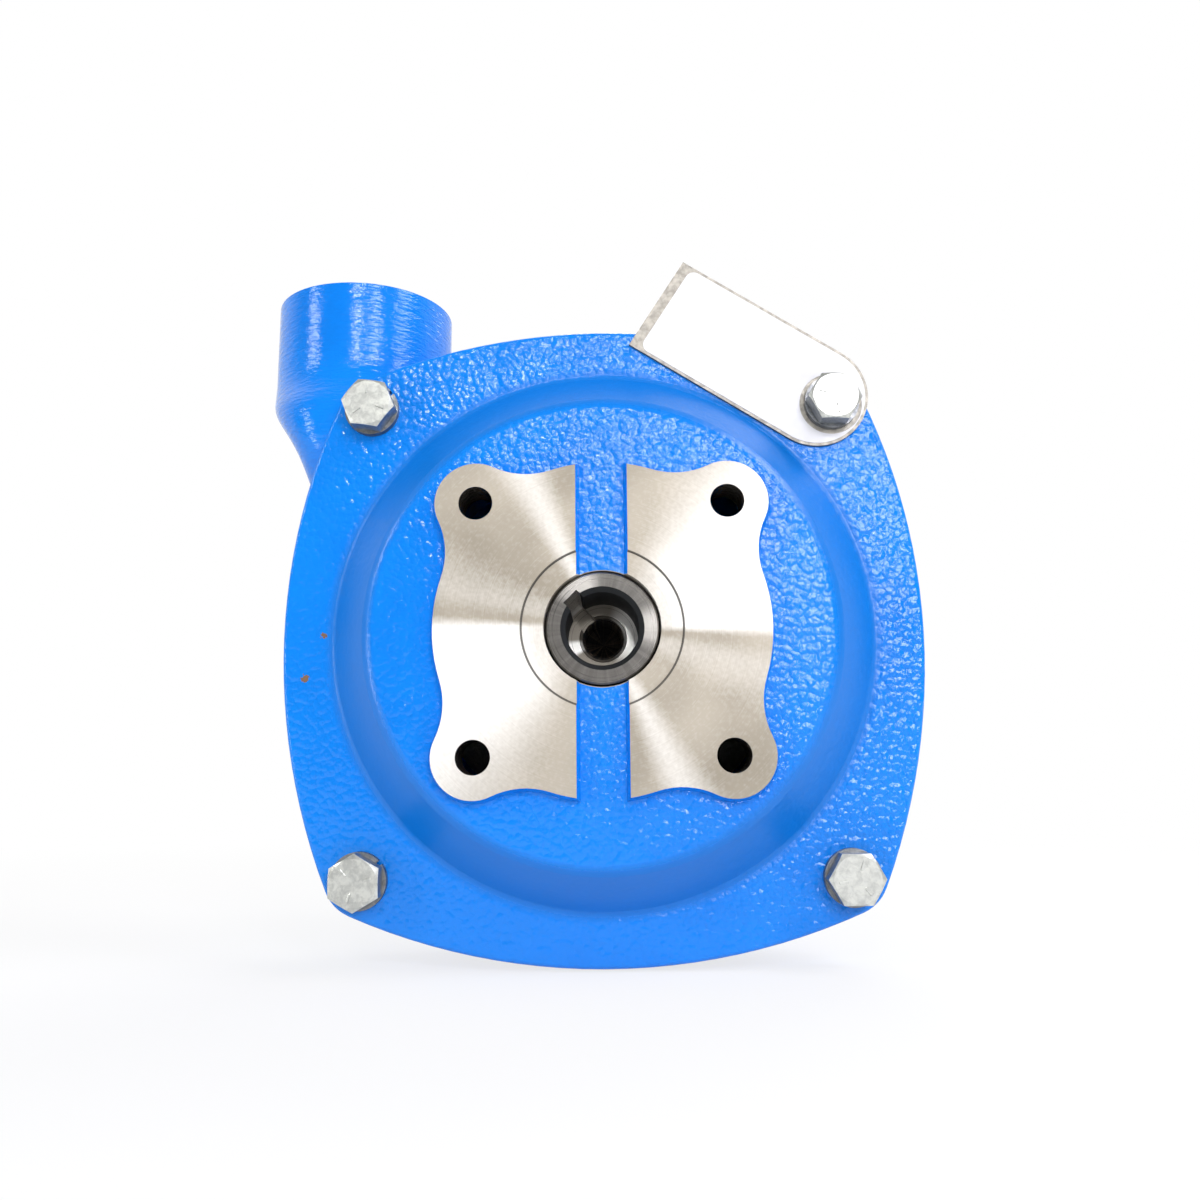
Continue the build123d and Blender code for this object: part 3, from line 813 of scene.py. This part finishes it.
# Sub-assemblies
@dataclass(frozen=True)
class Thread:
    """A screw thread standing on the wall of a hole."""

    name: str
    body: str
    slot: str
    mouth: Triple
    out: Way
    radius: float
    length: float
    pitch: float
    height: float
    steps: int = 48

    def build(self, material: bpy.types.Material) -> None:
        """Model the thread as one ridge wound along the hole, and settle it on its body.

        Args:
            material: Its finish.
        """
        clear_selection()
        bpy.ops.mesh.primitive_circle_add(vertices=3, radius=self.height * MM * 0.5, fill_type="NOTHING",
                                          location=(0, 0, 0))
        ridge = bpy.context.object
        foot = self.radius * MM
        half = self.pitch * MM * 0.46
        corners = ((foot, -half), (foot - self.height * MM, 0.0), (foot, half))
        for vertex, (reach, rise) in zip(ridge.data.vertices, corners):
            vertex.co = (reach, 0.0, rise)
        turns = self.length / self.pitch - 1.0
        screw = ridge.modifiers.new("wind", "SCREW")
        screw.axis = "Z"
        screw.angle = 2 * math.pi * turns
        screw.screw_offset = self.pitch * turns * MM
        screw.steps = screw.render_steps = int(self.steps * turns)
        screw.use_merge_vertices = False
        bpy.ops.object.modifier_apply(modifier=screw.name)
        bpy.ops.object.mode_set(mode="EDIT")
        bpy.ops.mesh.select_all(action="DESELECT")
        bpy.ops.mesh.select_mode(type="EDGE")
        bpy.ops.mesh.select_non_manifold()
        bpy.ops.mesh.edge_face_add()
        bpy.ops.mesh.select_all(action="SELECT")
        bpy.ops.mesh.normals_make_consistent(inside=False)
        bpy.ops.object.mode_set(mode="OBJECT")
        bpy.ops.object.shade_smooth_by_angle(angle=math.radians(40))
        into = -Vector(self.out.value)
        ridge.rotation_mode = "QUATERNION"
        ridge.rotation_quaternion = Vector((0, 0, 1)).rotation_difference(into)
        ridge.location = Vector(self.mouth) * MM + into * (self.pitch * 0.5 * MM)
        settle(ridge, self.name, self.body, material)


@dataclass
class Bracket:
    """The engine bracket: a painted casting with machined pads."""

    enamel: Enamel = BracketEnamel("enamel_bracket")

    def build(self, nodes: dict[str, bpy.types.Object]) -> None:
        """Dress the bracket's node."""
        dress(nodes["mounting_flange"], self.enamel.build())


@dataclass(frozen=True)
class NeckRing:
    """A level rounded rectangle around the discharge neck."""

    height: float
    middle_x: float
    half_x: float
    front: float
    rear: float
    corner_r: float

    def point(self, angle: float) -> Vector:
        """Return the ring's point in that direction, in metres.

        Args:
            angle: The direction in radians.

        Returns:
            The point.
        """
        half_y = (self.rear - self.front) / 2.0
        cosine = math.cos(angle)
        sine = math.sin(angle)
        reach_x = math.copysign(self.half_x - self.corner_r, cosine) + self.corner_r * cosine
        reach_y = math.copysign(half_y - self.corner_r, sine) + self.corner_r * sine
        return Vector((self.middle_x + reach_x, (self.front + self.rear) / 2.0 + reach_y, self.height)) * MM


@dataclass
class Scroll:
    """The scroll casing with its neck, its two threaded ports, its wear ring and its pipe plugs."""

    enamel: Enamel = ScrollEnamel("enamel_scroll")
    suction: Thread = Thread("suction_thread", HOUSING, "volute_casing", (0.0, 98.0, 0.0), Way.BACK,
                             radius=22.02, length=23.0, pitch=2.2, height=1.1)
    discharge: Thread = Thread("discharge_thread", HOUSING, "volute_casing", (-74.2, 50.0, 106.0), Way.UP,
                               radius=19.22, length=21.0, pitch=2.2, height=1.1)
    neck_sides: int = 48
    neck: tuple[NeckRing, ...] = (
        NeckRing(40.0, -66.3, 17.6, 30.0, 67.0, 9.0),
        NeckRing(48.0, -66.6, 18.2, 20.0, 68.2, 10.0),
        NeckRing(56.0, -68.4, 19.6, 16.6, 69.4, 12.0),
        NeckRing(63.0, -70.9, 21.9, 16.4, 71.4, 15.0),
        NeckRing(69.0, -73.0, 24.4, 18.2, 74.2, 20.0),
        NeckRing(74.0, -74.0, 26.0, 21.6, 76.2, 24.6),
        NeckRing(79.0, -74.2, 26.6, 23.4, 76.6, 26.5),
        NeckRing(84.0, -74.2, 26.5, 23.5, 76.5, 26.5),
    )

    def build(self, nodes: dict[str, bpy.types.Object], bare: bpy.types.Material,
              brass: bpy.types.Material) -> None:
        """Dress the casing and its small pieces, round out its neck and thread its ports.

        Args:
            nodes: The CAD nodes by name.
            bare: Finish of the threads.
            brass: Finish of the plugs and the wear ring.
        """
        enamel = self.enamel.build()
        dress(nodes["volute_casing"], enamel)
        dress(nodes["drain_plug"], brass)
        dress(nodes["priming_plug"], brass)
        dress(nodes["wear_ring"], brass)
        self._neck(enamel)
        self.suction.build(bare)
        self.discharge.build(bare)

    def _neck(self, enamel: bpy.types.Material) -> None:
        """Round out the discharge neck, from the rim's edge up to the boss.

        Args:
            enamel: Its finish.
        """
        clear_selection()
        levels = len(self.neck) - 1
        bpy.ops.mesh.primitive_grid_add(x_subdivisions=self.neck_sides, y_subdivisions=levels, size=2.0)
        neck = bpy.context.object
        for vertex in neck.data.vertices:
            step = round((vertex.co.x + 1.0) / 2.0 * self.neck_sides)
            level = round((vertex.co.y + 1.0) / 2.0 * levels)
            vertex.co = self.neck[level].point((step + 0.5) / self.neck_sides * 2.0 * math.pi)
        bpy.ops.object.mode_set(mode="EDIT")
        bpy.ops.mesh.select_all(action="SELECT")
        bpy.ops.mesh.remove_doubles(threshold=0.00001)
        bpy.ops.mesh.normals_make_consistent(inside=False)
        bpy.ops.object.mode_set(mode="OBJECT")
        smooth = neck.modifiers.new("smooth", "SUBSURF")
        smooth.levels = smooth.render_levels = 2
        bpy.ops.object.modifier_apply(modifier=smooth.name)
        bpy.ops.object.shade_smooth()
        settle(neck, "neck_skin", HOUSING, enamel)


@dataclass(frozen=True)
class Head:
    """One casing bolt's head: its corner of the square, its first dash's angle and its face's depth."""

    side_x: int
    side_z: int
    turn: float
    face_depth: float


@dataclass
class Fasteners:
    """The casing bolts with their lock washers, and three plain dashes on each head."""

    zinc: Plated = Plated("zinc", (0.70, 0.71, 0.66), (0.46, 0.47, 0.44))
    spring_steel: Plated = Plated("spring_steel", (0.34, 0.35, 0.36), (0.20, 0.21, 0.22))
    heads: tuple[Head, ...] = (Head(-1, 1, 98.0, 8.2), Head(1, 1, 40.0, 7.2),
                               Head(-1, -1, 15.0, 8.2), Head(1, -1, 70.0, 8.2))
    bolt_half: float = 63.5
    dashes: int = 3
    dash_r: float = 3.7
    dash_l: float = 2.4
    dash_w: float = 0.60
    dash_h: float = 0.24

    def build(self, nodes: dict[str, bpy.types.Object]) -> None:
        """Dress the bolts and the washers, and mark the heads."""
        zinc = self.zinc.build()
        dress(nodes["casing_bolts"], zinc)
        dress(nodes["lock_washers"], self.spring_steel.build())
        dashes = [self._dash(head, math.radians(head.turn + number * 360.0 / self.dashes))
                  for head in self.heads for number in range(self.dashes)]
        clear_selection()
        for dash in dashes:
            dash.select_set(True)
        bpy.context.view_layer.objects.active = dashes[0]
        bpy.ops.object.join()
        settle(dashes[0], "head_dashes", HOUSING, zinc)

    def _dash(self, head: Head, angle: float) -> bpy.types.Object:
        """Raise one radial dash on a head.

        Args:
            head: The head.
            angle: The dash's direction in radians.

        Returns:
            The dash.
        """
        clear_selection()
        bpy.ops.mesh.primitive_cube_add(size=1.0)
        dash = bpy.context.object
        dash.scale = Vector((self.dash_l, self.dash_h * 2.0, self.dash_w)) * MM
        dash.rotation_euler = (0.0, -angle, 0.0)
        dash.location = Vector((head.side_x * self.bolt_half + self.dash_r * math.cos(angle), head.face_depth,
                                head.side_z * self.bolt_half + self.dash_r * math.sin(angle))) * MM
        bpy.ops.object.transform_apply(location=True, rotation=True, scale=True)
        soften = dash.modifiers.new("soften", "BEVEL")
        soften.width = self.dash_h * 0.45 * MM
        soften.segments = 2
        bpy.ops.object.modifier_apply(modifier=soften.name)
        return dash


@dataclass
class Tag:
    """The metal tag with its blank label."""

    plate: Plated = Plated("tag_metal", (0.50, 0.47, 0.41), (0.36, 0.34, 0.30), 0.56)
    film: LabelFilm = LabelFilm()

    def build(self, nodes: dict[str, bpy.types.Object]) -> None:
        """Dress the tag and the label."""
        dress(nodes["tag_plate"], self.plate.build())
        dress(nodes["tag_label"], self.film.build())


@dataclass
class Rotor:
    """The shaft with the impeller and what holds it."""

    # The light tone goes only into the end face's painted highlight rays.
    steel: ShaftSteel = ShaftSteel("shaft_steel", (0.42, 0.40, 0.37), (0.085, 0.08, 0.072), 0.30,
                                   metallic=0.6)
    iron: CastMetal = CastMetal("impeller_iron", (0.30, 0.29, 0.28), (0.16, 0.155, 0.15))
    stud: Thread = Thread("stud_thread", ROTOR, "hollow_shaft", (0.0, 25.6, 0.0), Way.FRONT,
                          radius=5.62, length=9.6, pitch=1.06, height=0.55)

    def build(self, nodes: dict[str, bpy.types.Object], bare: bpy.types.Material,
              brass: bpy.types.Material) -> None:
        """Dress the shaft, the impeller and its fasteners, and add the stud hole's thread.

        Args:
            nodes: The CAD nodes by name.
            bare: Finish of the key and the washer.
            brass: Finish of the nut.
        """
        steel = self.steel.build()
        dress(nodes["hollow_shaft"], steel)
        dress(nodes["impeller"], self.iron.build())
        dress(nodes["impeller_key"], bare)
        dress(nodes["impeller_washer"], bare)
        dress(nodes["impeller_nut"], brass)
        self.stud.build(steel)


@dataclass
class Seal:
    """The mechanical seal's pieces and the casing's O-ring."""

    rubber: Moulded = Moulded("seal_rubber", (0.035, 0.035, 0.035), (0.015, 0.015, 0.015))
    ceramic: Moulded = Moulded("seal_ceramic", (0.82, 0.80, 0.74), (0.74, 0.72, 0.66), 0.35, 0.01)
    carbon: Moulded = Moulded("seal_carbon", (0.06, 0.06, 0.062), (0.03, 0.03, 0.032), 0.4, 0.01)

    def build(self, nodes: dict[str, bpy.types.Object], bare: bpy.types.Material) -> None:
        """Dress each piece of the seal.

        Args:
            nodes: The CAD nodes by name.
            bare: Finish of the metal pieces.
        """
        rubber = self.rubber.build()
        dress(nodes["seal_seat"], self.ceramic.build())
        dress(nodes["seal_face"], self.carbon.build())
        for name in ("seal_seat_cup", "seal_bellows", "casing_o_ring"):
            dress(nodes[name], rubber)
        for name in ("seal_shell", "seal_spring", "seal_spring_holder"):
            dress(nodes[name], bare)


# Studio
@dataclass(frozen=True)
class Softbox:
    """A soft rectangular lamp that looks at a point."""

    name: str
    place: Triple
    size: tuple[float, float]
    watts: float
    tint: Triple = (1.0, 1.0, 1.0)
    target: Triple = (0.0, 0.01, 0.0)

    def build(self) -> None:
        """Add the lamp."""
        data = bpy.data.lights.new(self.name, "AREA")
        data.shape = "RECTANGLE"
        data.size, data.size_y = self.size
        data.energy = self.watts
        data.color = self.tint
        lamp = bpy.data.objects.new(self.name, data)
        bpy.context.collection.objects.link(lamp)
        lamp.location = self.place
        aim = Vector(self.target) - Vector(self.place)
        lamp.rotation_euler = aim.to_track_quat("-Z", "Y").to_euler()


@dataclass
class Studio:
    """Camera, floor, world and lamps."""

    camera_place: Triple = (0.0024, -0.2607, -0.0372)
    pan: float = -0.64
    tilt: float = 9.58
    roll: float = -0.49
    focal_px: float = 1040.0
    picture_px: float = 1200.0
    sensor: float = 36.0
    floor_z: float = -0.0866
    floor_size: float = 8.0
    paper: Triple = (0.84, 0.84, 0.84)
    near_mm: float = 150.0
    far_mm: float = 650.0
    near_white: float = 0.76
    world_light: float = 0.45
    front_glow: float = 0.14
    lamps: tuple[Softbox, ...] = (
        Softbox("front_up", (-0.06, -0.92, 0.50), (0.16, 0.09), 1.9),
        Softbox("over_camera", (0.05, -0.80, 0.14), (0.07, 0.07), 0.35),
        Softbox("window", (0.33, -0.88, 0.33), (0.22, 0.38), 4.0, (0.94, 0.93, 1.0)),
        Softbox("right_fill", (0.80, -0.50, 0.62), (0.24, 0.30), 1.4, (0.96, 0.95, 1.0)),
        Softbox("top_right", (0.64, -0.20, 0.80), (0.36, 0.36), 3.4, (0.96, 0.94, 1.0)),
        Softbox("side_left", (-0.80, -0.40, 0.42), (0.16, 0.24), 1.3),
        Softbox("low_left", (-0.60, -0.35, -0.06), (0.08, 0.30), 0.8),
        Softbox("top_back", (0.30, 0.70, 0.90), (0.70, 0.50), 6.0),
    )

    def _camera(self) -> None:
        """Add the camera at the photograph's viewing angle."""
        data = bpy.data.cameras.new("camera")
        data.sensor_width = self.sensor
        data.lens = self.focal_px * self.sensor / self.picture_px
        data.clip_start = 0.01
        camera = bpy.data.objects.new("camera", data)
        bpy.context.collection.objects.link(camera)
        pan, tilt, roll = (math.radians(angle) for angle in (self.pan, self.tilt, self.roll))
        forward = Vector((math.sin(pan) * math.cos(tilt), math.cos(pan) * math.cos(tilt), math.sin(tilt)))
        right = Vector((math.cos(pan), -math.sin(pan), 0.0))
        up = right.cross(forward)
        turned_right = right * math.cos(roll) + up * math.sin(roll)
        turned_up = up * math.cos(roll) - right * math.sin(roll)
        camera.matrix_world = Matrix.Translation(self.camera_place) @ Matrix(
            (turned_right, turned_up, -forward)).transposed().to_4x4()
        bpy.context.scene.camera = camera

    def _floor(self) -> None:
        """Add the plain pale floor, with a soft shadow on it."""
        clear_selection()
        bpy.ops.mesh.primitive_grid_add(x_subdivisions=4, y_subdivisions=4, size=self.floor_size,
                                        location=(0.0, 0.0, self.floor_z))
        floor = bpy.context.object
        floor.name = "studio_floor"
        graph = Graph.named("floor_white")
        spot = graph.spot()
        away = distance(spot.across, spot.depth).ramp(self.near_mm, self.far_mm)
        paper = graph.node("ShaderNodeBsdfPrincipled", None,
                           {"Base Color": (*self.paper, 1.0), "Roughness": 0.9})
        glow = graph.node("ShaderNodeEmission", None, {"Color": (1.0, 1.0, 1.0, 1.0), "Strength": 1.0})
        path = graph.node("ShaderNodeLightPath")
        camera, glossy, through = (Signal(graph, path.outputs[f"Is {kind} Ray"])
                                   for kind in ("Camera", "Glossy", "Transmission"))
        seen = (camera + glossy + through).least(1.0) * (self.near_white + away * (1.0 - self.near_white))
        blend = graph.node("ShaderNodeMixShader", None, {0: seen, 1: paper.outputs[0], 2: glow.outputs[0]})
        graph.node("ShaderNodeOutputMaterial", None, {"Surface": blend.outputs[0]})
        floor.data.materials.append(graph.owner)

    def _world(self) -> None:
        """Set the world: white where it is seen behind the object, softer as a light."""
        world = bpy.data.worlds.new("studio_world")
        bpy.context.scene.world = world
        graph = Graph(world)
        path = graph.node("ShaderNodeLightPath")
        coords = graph.node("ShaderNodeTexCoord")
        parts = graph.node("ShaderNodeSeparateXYZ", None, {0: coords.outputs["Generated"]})
        behind = Signal(graph, parts.outputs[1]).ramp(-0.25, 0.35, self.front_glow, 1.0)
        lit, mirrored, shown = (
            graph.node("ShaderNodeBackground", None, {"Color": (1.0, 1.0, 1.0, 1.0), "Strength": strength})
            for strength in (self.world_light, behind, 1.0))
        bright = (Signal(graph, path.outputs["Is Glossy Ray"])
                  + Signal(graph, path.outputs["Is Transmission Ray"])).least(1.0)
        glossy = graph.node("ShaderNodeMixShader", None,
                            {0: bright, 1: lit.outputs[0], 2: mirrored.outputs[0]})
        seen = graph.node("ShaderNodeMixShader", None,
                          {0: path.outputs["Is Camera Ray"], 1: glossy.outputs[0], 2: shown.outputs[0]})
        graph.node("ShaderNodeOutputWorld", None, {"Surface": seen.outputs[0]})

    def build(self) -> None:
        """Add the camera, the floor, the world and the lamps."""
        self._camera()
        self._floor()
        self._world()
        for lamp in self.lamps:
            lamp.build()
        bpy.context.scene.view_settings.view_transform = "Standard"


def main() -> None:
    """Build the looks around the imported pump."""
    logging.basicConfig(level=logging.INFO, format="%(name)s: %(message)s")
    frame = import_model()
    nodes = frame["nodes"]
    bare = Turned("bare_steel", (0.62, 0.62, 0.62), (0.42, 0.42, 0.42), 0.3).build()
    brass = Turned("turned_brass", (0.78, 0.58, 0.27), (0.56, 0.40, 0.17), 0.3).build()
    Bracket().build(nodes)
    Scroll().build(nodes, bare, brass)
    Fasteners().build(nodes)
    Tag().build(nodes)
    Rotor().build(nodes, bare, brass)
    Seal().build(nodes, bare)
    Studio().build()


if __name__ == "__main__":
    main()
